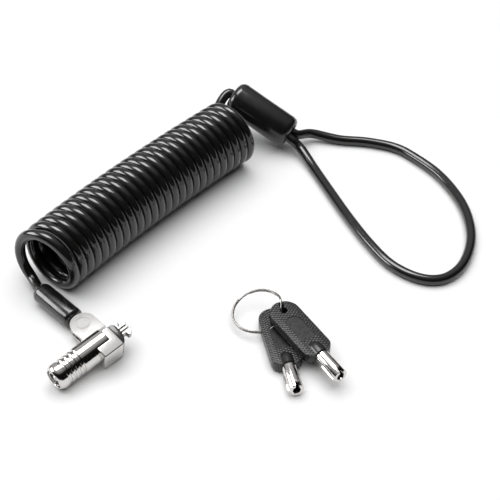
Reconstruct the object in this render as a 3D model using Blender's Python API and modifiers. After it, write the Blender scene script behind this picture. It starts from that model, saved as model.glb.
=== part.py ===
"""Laptop cable lock: noose-free lock head on a swivel yoke, coiled steel cable with a loop, two tubular keys."""
import math
import bmesh
import bpy
from mathutils import Matrix, Vector
from mathutils.geometry import interpolate_bezier

MM = 0.001

# where everything lies on the table (mm): the layout is shifted so the lock and keys sit centred on the origin
SHIFT = Vector((16.21, 45.51, 0.0))

# cable
CABLE_D = 3.5
COIL_R = 10.44
COIL_OD = 2 * COIL_R + CABLE_D
COIL_Z = COIL_R + CABLE_D / 2
COIL_START = Vector((-65.9, -19.1, COIL_Z))
COIL_HEADING = math.radians(53.7)
COIL_BEND = -0.00153
COIL_S0 = 0.3
COIL_S1 = 92.0
BOOT_D = 7.0
BOOT_FAR = Vector((-68.1, -23.6, 3.6))
SLEEVE_D = 12.4
SLEEVE_A = Vector((-6.2, 67.0, 16.6))
SLEEVE_B = Vector((14.8, 56.2, 6.6))
LOOP_ROUTE = (
    (23.2, 60.9, 3.4), (33.6, 59.1, 1.9), (44.0, 57.8, 1.8), (54.2, 54.2, 1.8), (61.3, 47.6, 1.8),
    (68.0, 38.8, 1.8), (72.9, 28.1, 1.8), (75.5, 17.7, 1.8), (75.8, 6.7, 1.8), (73.9, -2.5, 1.8),
    (70.2, -10.4, 1.8), (65.0, -15.4, 1.8), (59.2, -16.6, 1.8), (52.9, -14.2, 1.8), (46.4, -8.4, 1.8),
    (40.4, 1.6, 1.8), (34.4, 14.5, 1.8), (29.1, 27.5, 1.8), (23.6, 41.2, 1.9), (18.9, 51.0, 3.6),
)

# lock head, in its own frame: +X out of the nose, +Y to the yoke side, origin on the key face
HEAD_ORIGIN = Vector((-59.13, -62.66, 4.3))
HEAD_HEADING = 43.6
HEAD_PITCH = 6.2
HEAD_ROLL = 16.0
BARREL_R = 4.3
BARREL_L = 20.0
GROOVES = (3.8, 5.55, 7.3, 9.1)
HINGE_Y = 3.65
HINGE_Z = -4.25
BLOCK_Y = (-5.8, -1.8, 1.9)
BLOCK_X = (15.3, 20.3, 22.85)
BLOCK_Z = (-4.3, 3.95)
BORE_R = 4.37
JAW_Y = -0.55
JAW_Z = -0.3

# swivel yoke: a D of two cheeks on the hinge pin
D_WIDTH = 8.4
D_CENTRE = (20.5, 6.95)
D_BASE = 1.0
CHEEK_T = 1.4

# keys
BOW_L = 25.0
BOW_W = 9.7
BOW_T = 3.2
BOW_CORNER = 2.5
KEY_L = 34.8
SHANK_D = 4.6
DOME_R = 2.5
RING_R = 8.1
RING_WIRE = 0.29
RING_CENTRE = Vector((2.4, -33.5, 4.5))


def reset():
    for ob in list(bpy.data.objects):
        bpy.data.objects.remove(ob, do_unlink=True)


reset()
PART = bpy.data.collections.new("laptop_cable_lock")
bpy.context.scene.collection.children.link(PART)
CUTS = bpy.data.collections.new("cutters")
bpy.context.scene.collection.children.link(CUTS)


def material(name, rgb, metallic, rough):
    mat = bpy.data.materials.new(name)
    mat.use_nodes = True
    bsdf = mat.node_tree.nodes["Principled BSDF"]
    bsdf.inputs["Base Color"].default_value = (*rgb, 1.0)
    bsdf.inputs["Metallic"].default_value = metallic
    bsdf.inputs["Roughness"].default_value = rough
    return mat


def pose(origin, heading=0.0, pitch=0.0, roll=0.0):
    """Frame whose +X points along the heading (degrees), nose up by pitch, left side up by roll."""
    rot = (Matrix.Rotation(math.radians(heading), 4, "Z")
           @ Matrix.Rotation(math.radians(-pitch), 4, "Y")
           @ Matrix.Rotation(math.radians(roll), 4, "X"))
    return Matrix.Translation(Vector(origin)) @ rot


def aim(origin, target):
    """Frame at origin whose +X points at the target."""
    d = Vector(target) - Vector(origin)
    return Matrix.Translation(Vector(origin)) @ d.to_track_quat("X", "Z").to_matrix().to_4x4()


def put(name, mesh, frame, mat=None, cutter=False, smooth=True, pivot=None):
    """Place a mesh drawn in mm inside a frame; the object origin goes to the frame or to a pivot in it."""
    place = frame.copy()
    if pivot is not None:
        mesh.transform(Matrix.Translation(-Vector(pivot)))
        place = frame @ Matrix.Translation(Vector(pivot))
    mesh.transform(Matrix.Scale(MM, 4))
    loc = (place.translation + SHIFT) * MM
    ob = bpy.data.objects.new(name, mesh)
    ob.matrix_world = Matrix.Translation(loc) @ place.to_quaternion().to_matrix().to_4x4()
    if cutter:
        CUTS.objects.link(ob)
        ob.hide_render = True
        ob.display_type = "WIRE"
    else:
        PART.objects.link(ob)
        own = material(name, *mat)
        mesh.materials.clear()
        mesh.materials.append(own)
        if smooth:
            mesh.shade_smooth()
            mesh.set_sharp_from_angle(angle=math.radians(35))
    bpy.context.view_layer.update()
    return ob


def baked(ob):
    """Mesh of an object with its modifiers or curve geometry applied; the helper object goes."""
    bpy.context.view_layer.update()
    dep = bpy.context.evaluated_depsgraph_get()
    mesh = bpy.data.meshes.new_from_object(ob.evaluated_get(dep))
    bm = bmesh.new()
    bm.from_mesh(mesh)
    bmesh.ops.remove_doubles(bm, verts=bm.verts, dist=1e-4)
    bmesh.ops.recalc_face_normals(bm, faces=bm.faces)
    bm.to_mesh(mesh)
    bm.free()
    bpy.data.objects.remove(ob, do_unlink=True)
    return mesh


def lathe(profile, steps=40):
    """Turn an (x, r) outline about the X axis."""
    mesh = bpy.data.meshes.new("lathe")
    pts = [(x, 0.0, r) for x, r in profile]
    n = len(pts)
    edges = [(i, i + 1) for i in range(n - 1)]
    if profile[0][1] > 0:
        edges.append((n - 1, 0))
    mesh.from_pydata(pts, edges, [])
    ob = bpy.data.objects.new("lathe", mesh)
    bpy.context.scene.collection.objects.link(ob)
    mod = ob.modifiers.new("turn", "SCREW")
    mod.axis = "X"
    mod.steps = steps
    mod.render_steps = steps
    mod.use_merge_vertices = True
    mod.merge_threshold = 1e-4
    return baked(ob)


def plate(outline, z0, z1, bevel=0.0, holes=()):
    """Flat outline in XY, from z0 to z1, with an optional edge bevel."""
    cu = bpy.data.curves.new("plate", "CURVE")
    cu.dimensions = "2D"
    cu.fill_mode = "BOTH"
    cu.extrude = (z1 - z0) / 2
    for loop in (outline, *holes):
        sp = cu.splines.new("POLY")
        sp.points.add(len(loop) - 1)
        for p, (x, y) in zip(sp.points, loop):
            p.co = (x, y, 0.0, 1.0)
        sp.use_cyclic_u = True
    ob = bpy.data.objects.new("plate", cu)
    bpy.context.scene.collection.objects.link(ob)
    mesh = baked(ob)
    mesh.transform(Matrix.Translation((0, 0, (z0 + z1) / 2)))
    return soften(mesh, bevel) if bevel else mesh


def soften(mesh, width, segments=2, angle=40):
    ob = bpy.data.objects.new("soften", mesh)
    bpy.context.scene.collection.objects.link(ob)
    mod = ob.modifiers.new("edge", "BEVEL")
    mod.width = width
    mod.segments = segments
    mod.limit_method = "ANGLE"
    mod.angle_limit = math.radians(angle)
    return baked(ob)


def block(x0, x1, y0, y1, z0, z1, bevel=0.0):
    mesh = bpy.data.meshes.new("block")
    bm = bmesh.new()
    size = Matrix.Diagonal((x1 - x0, y1 - y0, z1 - z0, 1.0))
    mid = Matrix.Translation(((x0 + x1) / 2, (y0 + y1) / 2, (z0 + z1) / 2))
    bmesh.ops.create_cube(bm, size=1.0, matrix=mid @ size)
    bm.to_mesh(mesh)
    bm.free()
    return soften(mesh, bevel) if bevel else mesh


def tube(points, radius, resolution=2):
    """Round bar through points, with filled ends."""
    cu = bpy.data.curves.new("tube", "CURVE")
    cu.dimensions = "3D"
    cu.bevel_depth = radius
    cu.bevel_resolution = resolution
    cu.use_fill_caps = True
    sp = cu.splines.new("POLY")
    sp.points.add(len(points) - 1)
    for p, co in zip(sp.points, points):
        p.co = (*co, 1.0)
    ob = bpy.data.objects.new("tube", cu)
    bpy.context.scene.collection.objects.link(ob)
    return baked(ob)


def torus(radius, minor, steps=48, around=10):
    """Ring about the Z axis."""
    mesh = bpy.data.meshes.new("torus")
    bm = bmesh.new()
    start = Matrix.Translation((radius, 0, 0)) @ Matrix.Rotation(math.pi / 2, 4, "X")
    bmesh.ops.create_circle(bm, cap_ends=False, segments=around, radius=minor, matrix=start)
    geom = list(bm.verts) + list(bm.edges)
    bmesh.ops.spin(bm, geom=geom, cent=(0, 0, 0), axis=(0, 0, 1), angle=2 * math.pi, steps=steps,
                   use_merge=True, use_duplicate=False)
    bmesh.ops.recalc_face_normals(bm, faces=bm.faces)
    bm.to_mesh(mesh)
    bm.free()
    return mesh


def combine(ob, tool, operation="DIFFERENCE"):
    mod = ob.modifiers.new("cut", "BOOLEAN")
    mod.operation = operation
    mod.solver = "EXACT"
    mod.object = tool


def arc(cx, cy, r, a0, a1, n):
    out = []
    for i in range(n + 1):
        a = math.radians(a0 + (a1 - a0) * i / n)
        out.append((cx + r * math.cos(a), cy + r * math.sin(a)))
    return out


def smooth_route(route, first=None, last=None, per=3):
    """Points read evenly from a smooth curve through the route."""
    pts = [Vector(p) for p in route]
    tang = [(pts[min(i + 1, len(pts) - 1)] - pts[max(i - 1, 0)]) / 2 for i in range(len(pts))]
    if first is not None:
        tang[0] = Vector(first).normalized() * (pts[1] - pts[0]).length
    if last is not None:
        tang[-1] = Vector(last).normalized() * (pts[-1] - pts[-2]).length
    out = []
    for i in range(len(pts) - 1):
        seg = interpolate_bezier(pts[i], pts[i] + tang[i] / 3, pts[i + 1] - tang[i + 1] / 3, pts[i + 1], per + 1)
        out += seg[:-1]
    return out + [pts[-1]]


NICKEL = ((0.72, 0.71, 0.69), 1.0, 0.22)
STEEL = ((0.55, 0.55, 0.54), 1.0, 0.35)
BRASS = ((0.72, 0.55, 0.27), 1.0, 0.35)
DARK = ((0.05, 0.05, 0.05), 0.6, 0.35)
VINYL = ((0.02, 0.02, 0.02), 0.0, 0.15)
SATIN = ((0.04, 0.04, 0.04), 0.0, 0.45)
ALLOY = ((0.6, 0.6, 0.6), 1.0, 0.4)
HERE = Matrix.Identity(4)

HEAD = pose(HEAD_ORIGIN, HEAD_HEADING, HEAD_PITCH, HEAD_ROLL)


# ---- lock head ----------------------------------------------------------------------------------
def build_barrel():
    prof = [(0.0, 3.35), (0.25, 3.6), (1.1, BARREL_R)]
    for g in GROOVES:
        prof += [(g - 0.32, BARREL_R), (g - 0.22, 3.95), (g + 0.22, 3.95), (g + 0.32, BARREL_R)]
    prof += [(BARREL_L, BARREL_R), (BARREL_L, 2.95), (0.0, 2.95)]
    put("barrel_sleeve", lathe(prof), HEAD, NICKEL)


def build_cylinder():
    """Rotating key cylinder: an annular keyway round a centre post, pin chambers behind it."""
    prof = [(0.35, 2.1), (0.35, 2.65), (11.4, 2.65), (11.4, 0.95), (7.4, 0.95), (7.4, 2.1)]
    ob = put("key_cylinder", lathe(prof, 32), HEAD, STEEL)
    for i in range(3):
        a = math.radians(90 + 120 * i)
        bore = lathe([(7.0, 0.0), (7.0, 0.5), (10.6, 0.5), (10.6, 0.0)], 10)
        hole = put(f"cut_pin_{i}", bore, HEAD @ Matrix.Translation((0, 1.52 * math.cos(a), 1.52 * math.sin(a))),
                   cutter=True)
        combine(ob, hole)
        frame = HEAD @ Matrix.Translation((0, 1.52 * math.cos(a), 1.52 * math.sin(a)))
        put(f"tumbler_pin_{i + 1}", lathe([(7.3, 0.0), (7.45, 0.3), (8.9, 0.3), (8.9, 0.0)], 10), frame, BRASS)
        put(f"tumbler_spring_{i + 1}", lathe([(9.2, 0.0), (9.2, 0.26), (10.3, 0.26), (10.3, 0.0)], 8), frame, STEEL)
    post = lathe([(0.55, 0.0), (0.55, 0.85), (0.8, 1.05), (7.0, 1.05), (7.0, 0.65), (11.4, 0.65), (11.4, 0.0)], 20)
    put("centre_post", post, HEAD, STEEL)


def build_drive():
    """Shaft from the cylinder to the jaws, with a cam disc on its end."""
    prof = [(11.7, 0.0), (11.7, 2.5), (13.0, 2.5), (13.0, 1.2), (18.6, 1.2), (18.6, 2.4), (20.6, 2.4),
            (20.6, 0.0)]
    put("drive_cam", lathe(prof, 24), HEAD, STEEL)


def build_housing():
    """The L-shaped nose block with the hinge lugs."""
    (x0, x1, x2), (y0, y1, y2) = BLOCK_X, BLOCK_Y
    outline = [(x0, y0), (x2, y0), (x2, y2), (x1, y2), (x1, y1), (x0, y1)]
    ob = put("nose_housing", plate(outline, *BLOCK_Z, 0.3), HEAD, NICKEL)
    bore = lathe([(10.0, 0.0), (10.0, BORE_R), (20.3, BORE_R), (20.3, 2.7), (20.9, 2.7), (20.9, 0.0)])
    foot = plate([(20.6, 0.6), (x2 - 0.3, 0.6), (x2 - 0.3, HINGE_Y), (20.6, HINGE_Y)], -5.1, -2.9)
    lug = put("cut_lug_foot", foot, HEAD, cutter=True)
    boss = lathe([(20.6, 0.0), (20.6, 1.1), (x2 - 0.3, 1.1), (x2 - 0.3, 0.0)], 24)
    lug2 = put("cut_lug_boss", boss, HEAD @ Matrix.Translation((0, HINGE_Y, HINGE_Z)), cutter=True)
    combine(ob, lug, "UNION")
    combine(ob, lug2, "UNION")
    combine(ob, put("cut_bore", bore, HEAD, cutter=True))
    slot = block(20.5, 24.0, JAW_Y - 1.95, JAW_Y + 1.95, JAW_Z - 1.5, JAW_Z + 1.5)
    combine(ob, put("cut_jaw_slot", slot, HEAD, cutter=True))
    pin = lathe([(20.0, 0.0), (20.0, 0.7), (24.0, 0.7), (24.0, 0.0)], 20)
    combine(ob, put("cut_hinge", pin, HEAD @ Matrix.Translation((0, HINGE_Y, HINGE_Z)), cutter=True))


def build_nose():
    """Dark nose pad with a flat front round the jaw opening."""
    outline = [(23.15, -5.5), (24.15, -4.2), (24.7, -2.75), (24.7, 1.0), (24.3, 1.6), (23.15, 1.85)]
    pad = plate(outline, -4.0, 3.7, 0.35)
    ob = put("nose_pad", pad, HEAD, DARK)
    window = block(22.5, 27.0, JAW_Y - 1.95, JAW_Y + 1.95, JAW_Z - 1.5, JAW_Z + 1.5)
    combine(ob, put("cut_window", window, HEAD, cutter=True))
    axis = HEAD @ Matrix.Translation((0, JAW_Y, JAW_Z))
    blade = block(20.9, 28.9, -0.42, 0.42, -1.15, 1.15, 0.14)
    put("centre_blade", blade, axis, NICKEL)
    for side, sign in (("left", 1.0), ("right", -1.0)):
        jaw = [(21.0, 0.74), (28.7, 0.74), (29.1, 1.1), (28.6, 2.0), (28.0, 2.85), (27.1, 2.85), (26.8, 1.6),
               (21.0, 1.6)]
        mesh = plate(jaw, -1.15, 1.15, 0.12)
        if sign < 0:
            mesh.transform(Matrix.Rotation(math.pi, 4, "X"))
        put(f"hook_jaw_{side}", mesh, axis, NICKEL, pivot=(21.6, sign * 1.17, 0.0))


# ---- swivel yoke --------------------------------------------------------------------------------
YOKE = HEAD @ Matrix.Translation((0, HINGE_Y, HINGE_Z)) @ Matrix.Rotation(math.radians(-HEAD_ROLL), 4, "X")
PIVOT = Vector((*D_CENTRE, 0.0))
PIVOT_AT = YOKE @ PIVOT
BOOT_START = D_WIDTH / 2 + 0.35


def d_outline(grow=0.0):
    """D seen from above: straight base beside the barrel, round end away from it."""
    s0, s1 = PIVOT[0] - D_WIDTH / 2 - grow, PIVOT[0] + D_WIDTH / 2 + grow
    r = D_WIDTH / 2 + grow
    return [(s1, D_BASE)] + arc(PIVOT[0], PIVOT[1], r, 0, 180, 18) + [(s0, D_BASE)]


def build_yoke():
    for name, z0, z1 in (("yoke_cheek_upper", 0.85, 0.85 + CHEEK_T), ("yoke_cheek_lower", -2.25, -0.85)):
        ob = put(name, plate(d_outline(), z0, z1, 0.28), YOKE, NICKEL)
        hole = lathe([(-3.0, 0.0), (-3.0, 1.0), (3.0, 1.0), (3.0, 0.0)], 20)
        hole.transform(Matrix.Translation(PIVOT) @ Matrix.Rotation(math.pi / 2, 4, "Y"))
        if name.endswith("lower"):
            combine(ob, put("cut_pivot", hole, YOKE, cutter=True))
    s0, s1 = 16.5, 20.3
    knuckle = lathe([(s0, 0.0), (s0, 1.1), (s1, 1.1), (s1, 0.0)], 24)
    ob = put("yoke_knuckle", knuckle, YOKE, NICKEL)
    web = put("cut_web", block(s0, s1, 0.0, 3.6, -0.55, 0.55), YOKE, cutter=True)
    combine(ob, web, "UNION")
    bore = lathe([(10.0, 0.0), (10.0, 0.7), (30.0, 0.7), (30.0, 0.0)], 20)
    combine(ob, put("cut_knuckle_bore", bore, YOKE, cutter=True))
    pin = lathe([(16.6, 0.0), (16.6, 0.42), (22.4, 0.42), (22.4, 0.0)], 16)
    put("hinge_pin", pin, YOKE, STEEL)
    stud = lathe([(-2.2, 0.0), (-2.2, 0.7), (0.55, 0.7), (0.55, 0.0)], 20)
    stud.transform(Matrix.Rotation(-math.pi / 2, 4, "Y"))
    put("pivot_pin", stud, YOKE @ Matrix.Translation(PIVOT), STEEL)


# ---- cable --------------------------------------------------------------------------------------
def axis_point(s):
    """Point and heading on the gently bent axis of the coil."""
    h = COIL_HEADING + COIL_BEND * s
    x = (math.sin(h) - math.sin(COIL_HEADING)) / COIL_BEND
    y = -(math.cos(h) - math.cos(COIL_HEADING)) / COIL_BEND
    return COIL_START + Vector((x, y, 0.0)), h


def build_cable():
    pts = []
    for i in range(24):
        p, _ = axis_point(COIL_S0 + (COIL_S1 - COIL_S0) * i / 23)
        pts.append(tuple(p))
    put("cable_coil", tube(pts, COIL_OD / 2, 6), HERE, VINYL)
    away = (BOOT_FAR - PIVOT_AT).normalized()
    p0 = BOOT_FAR + away * 0.3
    lead = [p0 + away * (1.6 * i) for i in range(5)]
    lead[3].z = 3.0
    lead[4].z = 2.6
    put("cable_lead", tube([tuple(p) for p in lead], CABLE_D / 2), HERE, VINYL)
    end, h = axis_point(COIL_S1 + 0.7)
    fwd = Vector((math.cos(h), math.sin(h), 0.0))
    left = Vector((-math.sin(h), math.cos(h), 0.0))
    start = end + left * COIL_R * math.cos(math.radians(8)) + Vector((0, 0, COIL_R * math.sin(math.radians(8))))
    into = (SLEEVE_B - SLEEVE_A).normalized()
    mouth = SLEEVE_A - into * 0.35
    mid = start + fwd * 4.6 + left * 3.0 + Vector((0, 0, 1.2))
    tail = smooth_route([start, mid, SLEEVE_A - into * 3.6, mouth], fwd, into, 4)
    put("cable_tail", tube([tuple(p) for p in tail], CABLE_D / 2), HERE, VINYL)
    side = Vector((0, 0, 1)).cross(into).normalized()
    recess = SLEEVE_B - into * 3.0
    a, b = recess + side * 1.98, recess - side * 1.98
    route = [a, SLEEVE_B + side * 1.98 + into * 2.0] + [Vector(p) for p in LOOP_ROUTE]
    route += [SLEEVE_B - side * 1.98 + into * 2.0, b]
    put("cable_loop", tube([tuple(p) for p in smooth_route(route, into, -into, 3)], CABLE_D / 2), HERE, VINYL)


def build_fittings():
    frame = aim(PIVOT_AT, BOOT_FAR)
    length = (BOOT_FAR - PIVOT_AT).length
    r = BOOT_D / 2
    x0 = BOOT_START
    prof = [(x0, 1.5), (x0, r - 0.9), (x0 + 0.3, r - 0.35), (x0 + 1.0, r), (length - 1.6, r),
            (length - 0.7, r - 0.3), (length - 0.15, r - 0.9), (length, 1.6), (length, 0.9),
            (length - 2.0, 0.9), (length - 2.0, 1.5)]
    put("cable_boot", lathe(prof, 28), frame, VINYL)
    eye = arc(0, 0, 2.9, 40, 320, 16) + [(4.0, -1.0), (14.0, -1.0), (14.0, 1.0), (4.0, 1.0)]
    ob = put("cable_terminal", plate(eye, -0.5, 0.5, 0.1), frame, STEEL)
    hole = lathe([(-3.0, 0.0), (-3.0, 1.0), (3.0, 1.0), (3.0, 0.0)], 20)
    hole.transform(Matrix.Rotation(math.pi / 2, 4, "Y"))
    combine(ob, put("cut_eye", hole, frame, cutter=True))
    frame = aim(SLEEVE_A, SLEEVE_B)
    length = (SLEEVE_B - SLEEVE_A).length
    r = SLEEVE_D / 2
    prof = [(0.0, 2.2), (0.0, 4.2), (0.5, r - 0.7), (1.8, r), (length - 1.4, r), (length - 0.4, r - 0.6),
            (length, r - 1.4), (length, 4.15), (4.0, 4.15), (4.0, 2.2)]
    put("loop_sleeve", lathe(prof, 36), frame, VINYL)
    fer = lathe([(4.4, 0.0), (4.4, 3.7), (length - 3.5, 3.7), (length - 3.5, 0.0)], 24)
    put("loop_ferrule", fer, frame, ALLOY)


# ---- keys ---------------------------------------------------------------------------------------
RING = (Matrix.Translation(RING_CENTRE) @ Matrix.Rotation(math.radians(8), 4, "X")
        @ Matrix.Rotation(math.radians(-13), 4, "Y"))
KEYS = {
    "a": (Vector((8.5, -33.25, 6.15)), -57.5, 0.8, 0.0),
    "b": (Vector((6.5, -31.7, 1.95)), -77.5, -1.6, 0.0),
}


def build_key(tag):
    origin, heading, drop, roll = KEYS[tag]
    frame = pose(origin, heading, -drop, roll)
    w, t = BOW_W / 2, BOW_T / 2
    c = BOW_CORNER
    outline = (arc(BOW_L - c, w - c, c, 0, 90, 5) + arc(w, 0, w, 90, 270, 16)
               + arc(BOW_L - c, c - w, c, 270, 360, 5))
    bow = put(f"key_{tag}_bow", plate(outline, -t, t, 0.7), frame, SATIN, pivot=None)
    dome = lathe([(BOW_L - 6.0, 0.0), (BOW_L - 5.6, 1.4), (BOW_L - 4.4, 2.3), (BOW_L - 3.0, DOME_R),
                  (BOW_L - 0.5, DOME_R), (BOW_L - 0.05, DOME_R - 0.3), (BOW_L - 0.05, 0.0)], 28)
    combine(bow, put(f"cut_dome_{tag}", dome, frame, cutter=True), "UNION")
    seat = lathe([(BOW_L - 5.0, 0.0), (BOW_L - 5.0, SHANK_D / 2 - 0.2), (BOW_L + 2.0, SHANK_D / 2 - 0.2),
                  (BOW_L + 2.0, 0.0)], 20)
    combine(bow, put(f"cut_seat_{tag}", seat, frame, cutter=True))
    eye = lathe([(-4.0, 0.0), (-4.0, 1.3), (4.0, 1.3), (4.0, 0.0)], 20)
    eye.transform(Matrix.Translation((3.9, 0, 0)) @ Matrix.Rotation(math.pi / 2, 4, "Y"))
    combine(bow, put(f"cut_eye_{tag}", eye, frame, cutter=True))
    combine(bow, put(f"cut_ring_{tag}", torus(RING_R, 0.9), RING, cutter=True))
    r = SHANK_D / 2
    prof = [(BOW_L - 4.7, 0.0), (BOW_L - 4.7, r - 0.5), (BOW_L + 0.3, r - 0.5), (BOW_L + 0.3, r),
            (KEY_L - 0.2, r), (KEY_L, r - 0.2), (KEY_L, 1.25), (KEY_L - 6.0, 1.25), (KEY_L - 6.0, 0.0)]
    shank = put(f"key_{tag}_shank", lathe(prof, 28), frame, NICKEL)
    rib = block(KEY_L - 6.5, KEY_L - 0.3, -r - 0.4, 0.4 - r, -0.6, 0.1, 0.1)
    combine(shank, put(f"cut_rib_{tag}", rib, frame, cutter=True), "UNION")
    notch = block(KEY_L - 2.3, KEY_L + 0.6, -0.35, 0.95, 0.9, 4.0)
    combine(shank, put(f"cut_notch_{tag}", notch, frame, cutter=True))


def build_ring():
    put("split_ring", torus(RING_R, 2 * RING_WIRE, 56, 10), RING, NICKEL)


build_barrel()
build_cylinder()
build_drive()
build_housing()
build_nose()
build_yoke()
build_cable()
build_fittings()
build_key("a")
build_key("b")
build_ring()
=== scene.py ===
"""Laptop cable lock: the looks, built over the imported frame."""

import math
import bmesh
import bpy
from mathutils import Matrix, Vector


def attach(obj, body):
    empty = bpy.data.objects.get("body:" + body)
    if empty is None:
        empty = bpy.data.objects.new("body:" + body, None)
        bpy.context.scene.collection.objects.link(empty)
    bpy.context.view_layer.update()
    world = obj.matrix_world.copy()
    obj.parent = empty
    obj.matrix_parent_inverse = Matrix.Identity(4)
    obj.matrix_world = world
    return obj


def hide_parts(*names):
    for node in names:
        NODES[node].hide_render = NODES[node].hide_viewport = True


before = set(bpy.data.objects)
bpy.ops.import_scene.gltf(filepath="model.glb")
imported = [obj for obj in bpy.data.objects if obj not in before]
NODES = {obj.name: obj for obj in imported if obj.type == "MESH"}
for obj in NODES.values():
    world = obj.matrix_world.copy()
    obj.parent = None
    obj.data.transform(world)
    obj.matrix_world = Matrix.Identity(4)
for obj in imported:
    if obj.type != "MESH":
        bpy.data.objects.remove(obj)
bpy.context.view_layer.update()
scene = bpy.context.scene

# ---- layout and view -----------------------------------------------------------------------------
# Lengths are in millimetres and angles in degrees, in a layout frame that SHIFT carries to the world.
MM = 0.001
SHIFT = Vector((16.21, 45.51, 0.0))
EYE_AT = Vector((0.0, -314.0, 286.4))
EYE_TILT = 47.63
LENS = 90.0

# ---- dimensions repeated from the CAD ------------------------------------------------------------
CABLE_D = 3.5
COIL_R = 10.44
COIL_Z = COIL_R + CABLE_D / 2
COIL_START = Vector((-65.9, -19.1, COIL_Z))
COIL_HEADING = math.radians(53.7)
COIL_BEND = -0.00153    # radians per mm that the coil's axis curves
PITCH = 3.51
COIL_IN = 1.9           # first full turn, measured along the axis
WIND_START = 122.0      # angle of the winding where the pitch is counted from
TURNS = 26
SLEEVE_A = Vector((-6.2, 67.0, 16.6))
SLEEVE_B = Vector((14.8, 56.2, 6.6))
SLEEVE_R = 6.2
SLEEVE_MOUTH = 4.15     # radius of the recess that both strands of the end loop enter
STRAND_Y = 1.98         # each strand stands this far off the sleeve's axis
BOOT_FAR = Vector((-68.1, -23.6, 3.6))
BOOT_R = 3.5
BOOT_MOUTH = 1.86
HEAD_ROLL = 16.0
HINGE_Y = 3.65
HINGE_Z = -4.25
HINGE_PIN_R = 0.7
LUG_R = 1.1
LUG_X = 20.6
BLOCK_Y = (-5.8, -1.8, 1.9)
BLOCK_X = (15.3, 20.3, 22.85)
BLOCK_Z = (-4.3, 3.95)
BORE_R = 4.37
JAW_Y = -0.55
JAW_Z = -0.3
JAW_SLOT = (1.95, 1.5)  # half width and half height of the opening round the jaws
D_WIDTH = 8.4
D_BASE = 1.0
PIVOT = Vector((20.5, 6.95, 0.0))
BARREL_R = 4.3
BARREL_BORE = 2.95
GROOVES = (3.8, 5.55, 7.3, 9.1)
GROOVE_FLOOR = 3.86
BOW_L = 25.0
BOW_W = 9.7
BOW_T = 3.2
BOW_CORNER = 3.5
BOW_RIM = 0.95          # rounding of the bow's edges
KEY_L = 34.8
SHANK_D = 4.6
SHANK_BORE = 1.22
SHANK_SEAT = 1.8
DOME_R = 2.5
PANEL_W = 2.75          # half width of the sunk panel
PANEL_X = (7.3, 18.0)
PANEL_DEPTH = 0.22
EYE_X = 3.9
EYE_R = 1.3
RING_AT = (2.4, -33.5, 4.5)
RING_TILT = (8.0, -13.0)
RING_R = 8.1
RING_WIRE = 0.31
RING_TUNNEL = 0.83
LOOP_ROUTE = (
    (23.2, 60.9, 3.4), (33.6, 59.1, 1.9), (44.0, 57.8, 1.8), (54.2, 54.2, 1.8), (61.3, 47.6, 1.8),
    (68.0, 38.8, 1.8), (72.9, 28.1, 1.8), (75.5, 17.7, 1.8), (75.8, 6.7, 1.8), (73.9, -2.5, 1.8),
    (70.2, -10.4, 1.8), (65.0, -15.4, 1.8), (59.2, -16.6, 1.8), (52.9, -14.2, 1.8), (46.4, -8.4, 1.8),
    (40.4, 1.6, 1.8), (34.4, 14.5, 1.8), (29.1, 27.5, 1.8), (23.6, 41.2, 1.9), (18.9, 51.0, 3.6),
)


def pose(origin, heading=0.0, pitch=0.0, roll=0.0):
    """Frame at an origin, turned by its heading, raised by its pitch and rolled about its own X."""
    rot = (Matrix.Rotation(math.radians(heading), 4, "Z")
           @ Matrix.Rotation(math.radians(-pitch), 4, "Y")
           @ Matrix.Rotation(math.radians(roll), 4, "X"))
    return Matrix.Translation(Vector(origin)) @ rot


def aim(origin, target):
    """Frame whose X runs from an origin to a target."""
    d = Vector(target) - Vector(origin)
    return Matrix.Translation(Vector(origin)) @ d.to_track_quat("X", "Z").to_matrix().to_4x4()


HEAD = pose((-59.13, -62.66, 4.3), 43.6, 6.2, HEAD_ROLL)
YOKE = HEAD @ Matrix.Translation((0, HINGE_Y, HINGE_Z)) @ Matrix.Rotation(math.radians(-HEAD_ROLL), 4, "X")
PIVOT_AT = YOKE @ PIVOT
RING = (Matrix.Translation(RING_AT) @ Matrix.Rotation(math.radians(RING_TILT[0]), 4, "X")
        @ Matrix.Rotation(math.radians(RING_TILT[1]), 4, "Y"))
KEY = {    # each from the top of its bow towards the end of its shank
    "a": pose((8.5, -33.25, 6.15), -57.5, -0.8),
    "b": pose((6.5, -31.7, 1.95), -77.5, 1.6),
}

# ---- camera --------------------------------------------------------------------------------------
cam_data = bpy.data.cameras.new("camera")
cam_data.lens = LENS
cam_data.sensor_width = 36.0
cam_data.clip_start = 0.01
cam = bpy.data.objects.new("camera", cam_data)
scene.collection.objects.link(cam)
cam.location = (SHIFT + EYE_AT) * MM
cam.rotation_euler = (math.radians(EYE_TILT), 0.0, 0.0)
scene.camera = cam

# ---- materials -----------------------------------------------------------------------------------
HATCH_TURN = 0.55
HATCH_SCALE = 360.0


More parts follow.
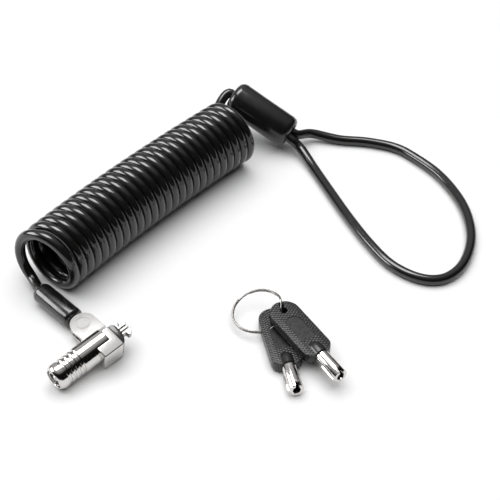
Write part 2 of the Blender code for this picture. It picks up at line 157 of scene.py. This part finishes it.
class Nodes:
    """A Principled material with short calls for the nodes that feed it."""

    def __init__(self, name, rgb, metallic, rough):
        self.mat = bpy.data.materials.new(name)
        self.mat.use_nodes = True
        self.tree = self.mat.node_tree
        self.bsdf = self.tree.nodes["Principled BSDF"]
        self.bsdf.inputs["Base Color"].default_value = (*rgb, 1.0)
        self.bsdf.inputs["Metallic"].default_value = metallic
        self.bsdf.inputs["Roughness"].default_value = rough
        self.coords = self.tree.nodes.new("ShaderNodeTexCoord").outputs["Object"]

    def add(self, kind, **values):
        """A node with its settings or its inputs given by name."""
        node = self.tree.nodes.new(kind)
        for key, value in values.items():
            if hasattr(node, key):
                setattr(node, key, value)
            else:
                node.inputs[key.replace("_", " ")].default_value = value
        return node

    def link(self, a, b):
        self.tree.links.new(a, b)

    def noise(self, scale, detail=4.0):
        n = self.add("ShaderNodeTexNoise", Scale=scale, Detail=detail, Roughness=0.55)
        self.link(self.coords, n.inputs["Vector"])
        return n.outputs["Fac"]

    def bands(self, turn, scale):
        """Even stripes across the surface, turned by an angle in radians."""
        m = self.add("ShaderNodeMapping")
        m.inputs["Rotation"].default_value = (0.0, 0.0, turn)
        self.link(self.coords, m.inputs["Vector"])
        w = self.add("ShaderNodeTexWave", wave_type="BANDS", bands_direction="X", wave_profile="SIN")
        w.inputs["Scale"].default_value = scale
        self.link(m.outputs["Vector"], w.inputs["Vector"])
        return w.outputs["Fac"]

    def ramp(self, fac, low, high, a, b):
        r = self.add("ShaderNodeMapRange")
        r.inputs["From Min"].default_value = low
        r.inputs["From Max"].default_value = high
        r.inputs["To Min"].default_value = a
        r.inputs["To Max"].default_value = b
        self.link(fac, r.inputs["Value"])
        return r.outputs["Result"]

    def tint(self, fac, dark, light):
        """Base colour running from dark to light with a factor."""
        m = self.add("ShaderNodeMix", data_type="RGBA")
        for socket in m.inputs:
            if socket.type == "RGBA":
                socket.default_value = (*(dark if socket.name == "A" else light), 1.0)
        self.link(fac, m.inputs[0])
        out = [s for s in m.outputs if s.type == "RGBA"][0]
        self.link(out, self.bsdf.inputs["Base Color"])

    def roughness(self, fac, low, high):
        self.link(self.ramp(fac, 0.3, 0.7, low, high), self.bsdf.inputs["Roughness"])

    def bump(self, height, distance, strength, after=None):
        """Raise the surface by a height in metres, on top of an earlier bump where one is given."""
        b = self.add("ShaderNodeBump")
        b.inputs["Strength"].default_value = strength
        b.inputs["Distance"].default_value = distance
        self.link(height, b.inputs["Height"])
        if after is not None:
            self.link(after, b.inputs["Normal"])
        self.link(b.outputs["Normal"], self.bsdf.inputs["Normal"])
        return b.outputs["Normal"]


# Nickel is plated and polished, steel is turned, vinyl is glossy and slightly wavy.
def nickel(name="nickel", rgb=(0.62, 0.605, 0.59), rough=(0.12, 0.22), metallic=1.0):
    n = Nodes(name, rgb, metallic, rough[0])
    n.tint(n.noise(260.0, 3.0), tuple(c * 0.93 for c in rgb), rgb)
    n.roughness(n.noise(900.0, 5.0), *rough)
    n.bump(n.noise(420.0, 3.0), 0.00002, 0.35)
    return n.mat


def steel(name="steel", rgb=(0.56, 0.56, 0.55)):
    n = Nodes(name, rgb, 1.0, 0.3)
    n.tint(n.noise(500.0, 4.0), tuple(c * 0.8 for c in rgb), rgb)
    n.roughness(n.noise(1400.0, 4.0), 0.22, 0.42)
    n.bump(n.noise(2500.0, 2.0), 0.00001, 0.5)
    return n.mat


def vinyl(name, rough=(0.12, 0.22), wave=0.00004, scale=160.0):
    n = Nodes(name, (0.012, 0.0112, 0.011), 0.0, 0.15)
    n.tint(n.noise(90.0, 3.0), (0.006, 0.0056, 0.0056), (0.011, 0.0102, 0.01))
    n.roughness(n.noise(350.0, 4.0), *rough)
    n.bump(n.noise(scale, 2.0), wave, 0.5)
    n.bsdf.inputs["Coat Weight"].default_value = 0.35
    n.bsdf.inputs["Coat Roughness"].default_value = 0.08
    return n.mat


def satin(name, hatch):
    """Black moulding, with a fine raised crosshatch where hatch is set; the crosshatch also carries painted
    highlights on its raised points and painted shade in its grooves.
    """
    n = Nodes(name, (0.012, 0.012, 0.012), 0.0, 0.4)
    n.tint(n.noise(300.0, 4.0), (0.008, 0.008, 0.0083), (0.014, 0.014, 0.0143))
    n.roughness(n.noise(800.0, 4.0), 0.24, 0.34)
    n.bsdf.inputs["Specular IOR Level"].default_value = 0.5
    first = n.bump(n.noise(2600.0, 3.0), 0.000005, 0.5)
    if hatch:
        both = n.add("ShaderNodeMath", operation="MULTIPLY")
        n.link(n.bands(HATCH_TURN, HATCH_SCALE), both.inputs[0])
        n.link(n.bands(-HATCH_TURN, HATCH_SCALE), both.inputs[1])
        n.bump(both.outputs["Value"], 0.00012, 1.0, after=first)
        # painted highlight on the crosshatch's raised points and painted shade in its grooves, put into the
        # base colour
        n.tint(both.outputs["Value"], (0.004, 0.004, 0.0042), (0.06, 0.06, 0.061))
    return n.mat


NICKEL = nickel()
BRIGHT = nickel("bright_nickel", (0.7, 0.68, 0.665), (0.09, 0.15))
WIRE = nickel("spring_wire", (0.3, 0.29, 0.28), (0.22, 0.34))
PLATE = nickel("plate_nickel", (0.52, 0.51, 0.5), (0.26, 0.34), 0.06)
HOOK = nickel("hook_nickel", (0.4, 0.39, 0.38), (0.24, 0.34))
STEEL = steel()
BRASS = steel("brass", (0.72, 0.52, 0.25))
ALLOY = steel("alloy", (0.62, 0.62, 0.62))
CABLE = vinyl("cable_vinyl")
GLOSS = vinyl("moulded_vinyl", (0.16, 0.28), 0.0001, 95.0)
DARK = vinyl("nose_dark", (0.14, 0.2), 0.00002, 400.0)
SATIN = satin("key_satin", False)
HATCH_AND_PAINTED_LIGHT = satin("key_crosshatch_painted_light", True)


# ---- mesh tools ----------------------------------------------------------------------------------
def baked(ob, dist=1e-4):
    """Mesh of an object with its modifiers applied; the object is removed."""
    bpy.context.view_layer.update()
    dep = bpy.context.evaluated_depsgraph_get()
    mesh = bpy.data.meshes.new_from_object(ob.evaluated_get(dep))
    bm = bmesh.new()
    bm.from_mesh(mesh)
    bmesh.ops.remove_doubles(bm, verts=bm.verts, dist=dist)
    bmesh.ops.recalc_face_normals(bm, faces=bm.faces)
    bm.to_mesh(mesh)
    bm.free()
    bpy.data.objects.remove(ob, do_unlink=True)
    return mesh


def linked(name, data):
    ob = bpy.data.objects.new(name, data)
    scene.collection.objects.link(ob)
    return ob


def lathe(profile, steps=72):
    """Turn a profile of (x, radius) points about X."""
    mesh = bpy.data.meshes.new("lathe")
    n = len(profile)
    edges = [(i, i + 1) for i in range(n - 1)]
    if profile[0][1] > 0:
        edges.append((n - 1, 0))
    mesh.from_pydata([(x, 0.0, r) for x, r in profile], edges, [])
    ob = linked("lathe", mesh)
    mod = ob.modifiers.new("turn", "SCREW")
    mod.axis = "X"
    mod.steps = steps
    mod.render_steps = steps
    mod.use_merge_vertices = True
    mod.merge_threshold = 1e-4
    return baked(ob)


def plate(outline, z0, z1, bevel=0.0, segments=3):
    """Flat outline raised from z0 to z1, with its rims rounded."""
    cu = bpy.data.curves.new("plate", "CURVE")
    cu.dimensions = "2D"
    cu.fill_mode = "BOTH"
    cu.extrude = (z1 - z0) / 2
    sp = cu.splines.new("POLY")
    sp.points.add(len(outline) - 1)
    for p, (x, y) in zip(sp.points, outline):
        p.co = (x, y, 0.0, 1.0)
    sp.use_cyclic_u = True
    mesh = baked(linked("plate", cu))
    mesh.transform(Matrix.Translation((0, 0, (z0 + z1) / 2)))
    return soften(mesh, bevel, segments) if bevel else mesh


def soften(mesh, width, segments):
    """Round the edges that turn by more than 40 degrees."""
    ob = linked("soften", mesh)
    mod = ob.modifiers.new("edge", "BEVEL")
    mod.width = width
    mod.segments = segments
    mod.limit_method = "ANGLE"
    mod.angle_limit = math.radians(40.0)
    return baked(ob, 1e-5)


def block(x0, x1, y0, y1, z0, z1, bevel=0.0, segments=3):
    """Box between its six faces, with rounded edges where a bevel is given."""
    mesh = bpy.data.meshes.new("block")
    bm = bmesh.new()
    size = Matrix.Diagonal((x1 - x0, y1 - y0, z1 - z0, 1.0))
    mid = Matrix.Translation(((x0 + x1) / 2, (y0 + y1) / 2, (z0 + z1) / 2))
    bmesh.ops.create_cube(bm, size=1.0, matrix=mid @ size)
    bm.to_mesh(mesh)
    bm.free()
    return soften(mesh, bevel, segments) if bevel else mesh


def torus(radius, minor, steps=90, around=16):
    """Ring about Z with a round section."""
    mesh = bpy.data.meshes.new("torus")
    bm = bmesh.new()
    start = Matrix.Translation((radius, 0, 0)) @ Matrix.Rotation(math.pi / 2, 4, "X")
    bmesh.ops.create_circle(bm, cap_ends=False, segments=around, radius=minor, matrix=start)
    geom = list(bm.verts) + list(bm.edges)
    bmesh.ops.spin(bm, geom=geom, cent=(0, 0, 0), axis=(0, 0, 1), angle=2 * math.pi, steps=steps,
                   use_merge=True, use_duplicate=False)
    bmesh.ops.recalc_face_normals(bm, faces=bm.faces)
    bm.to_mesh(mesh)
    bm.free()
    return mesh


def boolean(mesh, tool, operation="DIFFERENCE"):
    """First mesh with the second cut away from it, or joined to it."""
    a, b = linked("a", mesh), linked("b", tool)
    mod = a.modifiers.new("cut", "BOOLEAN")
    mod.operation = operation
    mod.solver = "EXACT"
    mod.object = b
    out = baked(a, 1e-5)
    bpy.data.objects.remove(b, do_unlink=True)
    return out


def arc(cx, cy, r, a0, a1, n):
    """Points on a circle, from one angle in degrees to another."""
    out = []
    for i in range(n + 1):
        a = math.radians(a0 + (a1 - a0) * i / n)
        out.append((cx + r * math.cos(a), cy + r * math.sin(a)))
    return out


def put(name, mesh, place, mat, body, *nodes, sharp=35):
    """Set a mesh drawn in mm inside a frame, give it a material, and ride it on a body."""
    mesh.transform(Matrix.Scale(MM, 4))
    ob = linked(name, mesh)
    loc = (place.translation + SHIFT) * MM
    ob.matrix_world = Matrix.Translation(loc) @ place.to_quaternion().to_matrix().to_4x4()
    mesh.materials.clear()
    mesh.materials.append(mat)
    mesh.shade_smooth()
    mesh.set_sharp_from_angle(angle=math.radians(sharp))
    bpy.context.view_layer.update()
    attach(ob, body)
    if nodes:
        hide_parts(*nodes)
    return ob


def flats(ob, mat):
    """Give the upward flat of a piece its own finish."""
    ob.data.materials.append(mat)
    for poly in ob.data.polygons:
        if poly.normal.z > 0.999:
            poly.material_index = 1


def wire(name, points, radius, mat, body, resolution=5):
    """Round bar along points given in mm."""
    cu = bpy.data.curves.new(name, "CURVE")
    cu.dimensions = "3D"
    cu.bevel_depth = radius * MM
    cu.bevel_resolution = resolution
    cu.use_fill_caps = True
    sp = cu.splines.new("POLY")
    sp.points.add(len(points) - 1)
    for p, co in zip(sp.points, points):
        p.co = (*((Vector(co) + SHIFT) * MM), 1.0)
    sp.use_smooth = True
    cu.materials.append(mat)
    ob = linked(name, cu)
    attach(ob, body)
    return ob


def hermite(p0, t0, p1, t1, n):
    """Points between two ends that have given tangents, without the ends."""
    out = []
    for i in range(1, n):
        t = i / n
        a, b = 2 * t ** 3 - 3 * t ** 2 + 1, t ** 3 - 2 * t ** 2 + t
        c, d = -2 * t ** 3 + 3 * t ** 2, t ** 3 - t ** 2
        out.append(p0 * a + t0 * b + p1 * c + t1 * d)
    return out


def smooth_route(route, first, last, per):
    """Smooth curve through a route, with its first and last directions given."""
    pts = [Vector(p) for p in route]
    tang = [(pts[min(i + 1, len(pts) - 1)] - pts[max(i - 1, 0)]) / 2 for i in range(len(pts))]
    tang[0] = first.normalized() * (pts[1] - pts[0]).length
    tang[-1] = last.normalized() * (pts[-1] - pts[-2]).length
    out = [pts[0]]
    for i in range(len(pts) - 1):
        out += hermite(pts[i], tang[i], pts[i + 1], tang[i + 1], per)
        out.append(pts[i + 1])
    return out


def run(points):
    """Length along points."""
    return sum((b - a).length for a, b in zip(points, points[1:]))


# ---- cords ---------------------------------------------------------------------------------------
def axis_point(s):
    """Place and heading of the coil's curved axis at a distance along it."""
    h = COIL_HEADING + COIL_BEND * s
    x = (math.sin(h) - math.sin(COIL_HEADING)) / COIL_BEND
    y = -(math.cos(h) - math.cos(COIL_HEADING)) / COIL_BEND
    return COIL_START + Vector((x, y, 0.0)), h


def turn_point(deg):
    """Centre of the cable at an angle of the winding; the first turn stands a little apart."""
    u = min(max((deg + 55.0) / 330.0, 0.0), 1.0)
    apart = 1.7 * (1 - u * u * (3 - 2 * u))
    p, h = axis_point(PITCH * (deg - WIND_START) / 360.0 + COIL_IN - apart)
    a = math.radians(deg)
    left = Vector((-math.sin(h), math.cos(h), 0.0))
    return p + COIL_R * (left * math.cos(a) + Vector((0, 0, math.sin(a))))


def main_cable():
    """The cable from the boot through the coil to the sleeve, as one cord."""
    first, last, step = -50.0, TURNS * 360.0 - 22.0, 10.0
    count = math.ceil((last - first) / step)
    coil = [turn_point(first + step * i) for i in range(count)] + [turn_point(last)]
    away = (BOOT_FAR - PIVOT_AT).normalized()
    lead0 = BOOT_FAR - away * 1.6
    t1 = (coil[1] - coil[0]).normalized()
    lead = [lead0] + hermite(lead0, away * 8.0, coil[0], t1 * 8.0, 8)
    into = (SLEEVE_B - SLEEVE_A).normalized()
    t2 = (coil[-1] - coil[-2]).normalized()
    end = SLEEVE_A + into * 3.2
    near = SLEEVE_A - into * 1.0
    tail = hermite(coil[-1], t2 * 9.5, near, into * 9.5, 14) + [near, end]
    pts = lead + coil + tail
    ob = wire("cable_main", pts, CABLE_D / 2, CABLE, "cable")
    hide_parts("cable_lead", "cable_coil", "cable_tail")
    return ob, run(pts) * MM


def loop_cable():
    """The anchor loop: out of the sleeve, round, and back in beside itself."""
    into = (SLEEVE_B - SLEEVE_A).normalized()
    side = Vector((0, 0, 1)).cross(into).normalized() * STRAND_Y
    inner, outer = SLEEVE_B - into * 3.0, SLEEVE_B + into * 2.0
    route = [inner + side, outer + side, *LOOP_ROUTE, outer - side, inner - side]
    pts = smooth_route(route, into, -into, 6)
    ob = wire("cable_end_loop", pts, CABLE_D / 2, CABLE, "cable")
    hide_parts("cable_loop")
    return ob, run(pts) * MM


def boot():
    """Moulded strain relief between the yoke and the cable, open where the cable enters."""
    length = (BOOT_FAR - PIVOT_AT).length
    x0, r = D_WIDTH / 2 + 0.35, BOOT_R
    prof = [(x0, 1.5), (x0, r - 1.2), (x0 + 0.12, r - 0.8), (x0 + 0.45, r - 0.32), (x0 + 0.9, r - 0.06),
            (x0 + 1.5, r), (x0 + 7.0, r - 0.03), (length - 2.2, r), (length - 1.3, r - 0.1),
            (length - 0.6, r - 0.45), (length - 0.15, r - 1.0), (length, 2.0), (length, BOOT_MOUTH),
            (length - 2.5, BOOT_MOUTH), (length - 2.5, 1.5)]
    return put("boot_skin", lathe(prof), aim(PIVOT_AT, BOOT_FAR), GLOSS, "cable", "cable_boot", sharp=50)


def sleeve():
    """Moulded sleeve that joins the coil's tail to both strands of the end loop."""
    length, r = (SLEEVE_B - SLEEVE_A).length, SLEEVE_R
    prof = [(0.0, 2.0), (0.0, 3.9), (0.2, 4.6), (0.7, 5.4), (1.5, 5.95), (2.6, r), (length * 0.5, r - 0.06),
            (length - 2.4, r), (length - 1.2, r - 0.25), (length - 0.4, r - 0.8), (length - 0.05, r - 1.4),
            (length, 4.5), (length - 0.2, 4.2), (length - 1.5, SLEEVE_MOUTH), (4.0, SLEEVE_MOUTH),
            (4.0, 2.0)]
    return put("sleeve_skin", lathe(prof), aim(SLEEVE_A, SLEEVE_B), GLOSS, "cable", "loop_sleeve", sharp=50)


cable, cable_len = main_cable()
loop, loop_len = loop_cable()
boot_skin = boot()
sleeve_skin = sleeve()


# ---- lock head -----------------------------------------------------------------------------------
def barrel():
    """Round barrel with turned grooves, open at the key's end."""
    prof = [(0.0, 3.25), (0.12, 3.5), (0.5, 3.85), (1.0, 4.15), (1.5, BARREL_R)]
    for g in GROOVES:
        wall = [(0.6, BARREL_R), (0.48, BARREL_R - 0.08), (0.34, BARREL_R - 0.34), (0.15, GROOVE_FLOOR)]
        prof += [(g - x, r) for x, r in wall] + [(g + x, r) for x, r in reversed(wall)]
    prof += [(20.0, BARREL_R), (20.0, BARREL_BORE), (0.5, BARREL_BORE), (0.15, 3.02)]
    put("barrel_skin", lathe(prof, 96), HEAD, BRIGHT, "head", "barrel_sleeve", sharp=28)


def jaw_slot(x0, x1):
    """Block that clears the opening the jaws stand in."""
    y, z = JAW_SLOT
    return block(x0, x1, JAW_Y - y, JAW_Y + y, JAW_Z - z, JAW_Z + z)


def housing():
    """L-shaped block with its hinge lug, bored for the barrel, the pin and the jaws."""
    (x0, x1, x2), (y0, y1, y2) = BLOCK_X, BLOCK_Y
    outline = [(x0, y0), (x2, y0), (x2, y2), (x1, y2), (x1, y1), (x0, y1)]
    mesh = plate(outline, *BLOCK_Z, 0.4, 3)
    lug_end = x2 - 0.3
    foot = [(LUG_X, 0.6), (lug_end, 0.6), (lug_end, HINGE_Y), (LUG_X, HINGE_Y)]
    mesh = boolean(mesh, plate(foot, -5.1, -2.9), "UNION")
    boss = lathe([(LUG_X, 0.0), (LUG_X, LUG_R), (lug_end, LUG_R), (lug_end, 0.0)], 40)
    boss.transform(Matrix.Translation((0, HINGE_Y, HINGE_Z)))
    mesh = boolean(mesh, boss, "UNION")
    bore = lathe([(10.0, 0.0), (10.0, BORE_R), (20.3, BORE_R), (20.3, 2.7), (20.9, 2.7), (20.9, 0.0)], 72)
    mesh = boolean(mesh, bore)
    mesh = boolean(mesh, jaw_slot(20.5, 24.0))
    pin = lathe([(20.0, 0.0), (20.0, HINGE_PIN_R), (24.0, HINGE_PIN_R), (24.0, 0.0)], 32)
    pin.transform(Matrix.Translation((0, HINGE_Y, HINGE_Z)))
    mesh = boolean(mesh, pin)
    flats(put("housing_skin", mesh, HEAD, BRIGHT, "head", "nose_housing", sharp=28), PLATE)


def nose():
    """Dark moulded pad that meets the laptop's case."""
    outline = [(22.95, -5.6), (23.6, -5.1), (24.2, -4.2), (24.55, -3.4), (24.75, -2.6), (24.82, -1.6),
               (24.8, 0.2), (24.65, 1.0), (24.3, 1.55), (23.8, 1.8), (22.95, 1.85)]
    pad = plate(outline, -4.0, 3.65, 0.7, 4)
    pad = boolean(pad, jaw_slot(22.5, 27.0))
    put("nose_skin", pad, HEAD, DARK, "head", "nose_pad", sharp=40)


def disc(radius, z0, z1):
    """Round plate over the yoke's pivot."""
    return plate(arc(PIVOT.x, PIVOT.y, radius, 0, 360, 47)[:-1], z0, z1)


def yoke():
    """The D-shaped plate, with a plain ring groove over the pivot."""
    r = D_WIDTH / 2
    outline = [(PIVOT.x + r, D_BASE)] + arc(PIVOT.x, PIVOT.y, r, 0, 180, 40) + [(PIVOT.x - r, D_BASE)]
    top = plate(outline, 0.85, 2.25, 0.4, 3)
    top = boolean(top, boolean(disc(2.35, 2.08, 2.6), disc(2.1, 2.0, 2.8)))
    flats(put("cheek_upper_skin", top, YOKE, BRIGHT, "yoke", "yoke_cheek_upper", sharp=28), PLATE)


barrel()
housing()
nose()
yoke()


# ---- keys ----------------------------------------------------------------------------------------
def panel(inset, z0, z1, sign):
    """Plate in the panel's outline, round towards the ring and square towards the shank."""
    (x0, x1), r = PANEL_X, PANEL_W
    r -= inset
    mesh = plate([(x1 - inset, r)] + arc(x0 + inset + r, 0, r, 90, 270, 24) + [(x1 - inset, -r)], z0, z1)
    if sign < 0:
        mesh.transform(Matrix.Rotation(math.pi, 4, "X"))
    return mesh


def ring_lift(a):
    """How far the wire springs out of its flat ring, up over one bow's rim and down under the other's."""
    def near(middle, width):
        away = math.remainder(a - math.radians(middle), 2 * math.pi)
        return math.exp(-(away / math.radians(width)) ** 2)

    return 1.9 * near(8.0, 24.0) - 1.4 * near(-62.0, 28.0)


def key(tag):
    """One key: moulded bow with its panels, and a tubular shank with a rib and a notch."""
    place, body = KEY[tag], f"key_{tag}"
    w, t = BOW_W / 2, BOW_T / 2
    c = BOW_CORNER
    outline = (arc(BOW_L - c, w - c, c, 0, 90, 10) + arc(w, 0, w, 90, 270, 32)
               + arc(BOW_L - c, c - w, c, 270, 360, 10))
    bow = plate(outline, -t, t, BOW_RIM, 3)
    dome = lathe([(BOW_L - 6.0, 0.0), (BOW_L - 5.85, 0.9), (BOW_L - 5.4, 1.6), (BOW_L - 4.6, 2.15),
                  (BOW_L - 3.6, 2.43), (BOW_L - 2.6, DOME_R), (BOW_L - 0.5, DOME_R),
                  (BOW_L - 0.1, DOME_R - 0.25), (BOW_L - 0.05, 0.0)], 48)
    bow = boolean(bow, dome, "UNION")
    seat = lathe([(BOW_L - 5.0, 0.0), (BOW_L - 5.0, SHANK_SEAT), (BOW_L + 2.0, SHANK_SEAT),
                  (BOW_L + 2.0, 0.0)], 32)
    bow = boolean(bow, seat)
    eye = lathe([(-4.0, 0.0), (-4.0, EYE_R), (4.0, EYE_R), (4.0, 0.0)], 32)
    eye.transform(Matrix.Translation((EYE_X, 0, 0)) @ Matrix.Rotation(math.pi / 2, 4, "Y"))
    bow = boolean(bow, eye)
    for sign in (1, -1):
        bow = boolean(bow, panel(0.0, t - PANEL_DEPTH, t + 1.0, sign))
    ring = torus(RING_R, RING_TUNNEL)
    for v in ring.vertices:
        v.co.z += ring_lift(math.atan2(v.co.y, v.co.x))
    ring.transform(place.inverted() @ RING)
    bow = boolean(bow, ring)
    skin = put(f"bow_skin_{tag}", bow, place, HATCH_AND_PAINTED_LIGHT, body, f"key_{tag}_bow", sharp=28)
    skin.data.materials.append(SATIN)
    for poly in skin.data.polygons:    # the dome and the rims stay plain
        if abs(poly.center.z) > (t + 0.02) * MM or abs(poly.normal.z) < 0.9:
            poly.material_index = 1
    for sign, face in ((1, "top"), (-1, "under")):
        floor = panel(0.13, t - PANEL_DEPTH - 0.015, t - PANEL_DEPTH + 0.02, sign)
        put(f"bow_panel_{tag}_{face}", floor, place, SATIN, body)
    r = SHANK_D / 2
    prof = [(BOW_L - 4.7, 0.0), (BOW_L - 4.7, r - 0.5), (BOW_L + 0.1, r - 0.5), (BOW_L + 0.1, r - 0.06),
            (BOW_L + 0.2, r), (KEY_L - 0.3, r), (KEY_L - 0.08, r - 0.1), (KEY_L, r - 0.25), (KEY_L, 1.3),
            (KEY_L - 0.1, SHANK_BORE), (KEY_L - 6.0, SHANK_BORE), (KEY_L - 6.0, 0.0)]
    shank = lathe(prof, 64)
    rib = block(KEY_L - 6.5, KEY_L - 0.3, -r - 0.4, 0.4 - r, -0.6, 0.1, 0.12, 3)
    shank = boolean(shank, rib, "UNION")
    shank = boolean(shank, block(KEY_L - 2.3, KEY_L + 0.6, -0.35, 0.95, 0.9, 4.0))
    put(f"shank_skin_{tag}", shank, place, BRIGHT, body, f"key_{tag}_shank", sharp=28)


def split_ring():
    """Wire wound almost twice round, stepping down half way."""
    pts = []
    n = 150
    for i in range(n + 1):
        a = math.radians(140.0 + 690.0 * i / n)
        z = 0.32 - 0.64 * min(max((i / n - 0.42) / 0.1, 0.0), 1.0)
        pts.append(RING @ Vector((RING_R * math.cos(a), RING_R * math.sin(a), z + ring_lift(a))))
    ob = wire("ring_wire", pts, RING_WIRE, WIRE, "key_ring", 3)
    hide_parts("split_ring")


key("a")
key("b")
split_ring()

# ---- finishes for the pieces carried over from the frame -----------------------------------------
FINISH = {
    "key_cylinder": STEEL, "centre_post": NICKEL, "drive_cam": STEEL,
    "hinge_pin": STEEL, "pivot_pin": STEEL, "cable_terminal": STEEL, "loop_ferrule": ALLOY,
    "yoke_cheek_lower": NICKEL, "yoke_knuckle": NICKEL,
    "hook_jaw_left": HOOK, "hook_jaw_right": HOOK, "centre_blade": HOOK,
}
for i in (1, 2, 3):
    FINISH[f"tumbler_pin_{i}"] = BRASS
    FINISH[f"tumbler_spring_{i}"] = STEEL
for node, mat in FINISH.items():
    for slot in NODES[node].material_slots:
        slot.material = mat


# ---- floor and light -----------------------------------------------------------------------------
def area_light(name, loc, wide, high, power):
    """Flat lamp in metres and watts, facing the object."""
    light = bpy.data.lights.new(name, "AREA")
    light.shape = "RECTANGLE"
    light.size = wide
    light.size_y = high
    light.energy = power
    ob = linked(name, light)
    ob.location = loc
    ob.rotation_euler = (Vector((0, 0.03, 0)) - ob.location).to_track_quat("-Z", "Y").to_euler()
    return ob


def studio():
    """Pale floor, a sky that is bright from behind and above, and three lamps."""
    mesh = bpy.data.meshes.new("floor")
    bm = bmesh.new()
    bmesh.ops.create_grid(bm, x_segments=4, y_segments=4, size=0.75)
    bm.to_mesh(mesh)
    bm.free()
    n = Nodes("floor_white", (0.93, 0.93, 0.93), 0.0, 0.7)
    n.tint(n.noise(3.0, 2.0), (0.925, 0.925, 0.925), (0.935, 0.935, 0.935))
    mesh.materials.append(n.mat)
    floor = linked("floor", mesh)
    floor.location = (0.0, 0.1, -0.0001)
    world = bpy.data.worlds.new("studio")
    scene.world = world
    world.use_nodes = True
    tree = world.node_tree
    back = tree.nodes["Background"]
    coord = tree.nodes.new("ShaderNodeTexCoord")
    ramp = tree.nodes.new("ShaderNodeValToRGB")
    lean = tree.nodes.new("ShaderNodeVectorMath")
    lean.operation = "DOT_PRODUCT"
    lean.inputs[1].default_value = (-0.3, 0.5, 1.0)
    tree.links.new(coord.outputs["Generated"], lean.inputs[0])
    tree.links.new(lean.outputs["Value"], ramp.inputs["Fac"])
    tree.links.new(ramp.outputs["Color"], back.inputs["Color"])
    ramp.color_ramp.elements[0].position = 0.45
    ramp.color_ramp.elements[0].color = (0.012, 0.012, 0.012, 1)
    ramp.color_ramp.elements[1].position = 0.95
    ramp.color_ramp.elements[1].color = (1, 1, 1, 1)
    back.inputs["Strength"].default_value = 0.5
    area_light("overhead", (-0.04, 0.08, 1.0), 1.5, 1.5, 14.5).visible_glossy = False
    area_light("softbox", (-0.18, 0.3, 0.86), 0.62, 0.42, 7.6).visible_diffuse = False
    area_light("side_card", (-0.85, 0.1, 0.36), 0.5, 0.4, 5.5).visible_diffuse = False
    scene.view_settings.view_transform = "Standard"
    scene.view_settings.look = "None"


studio()
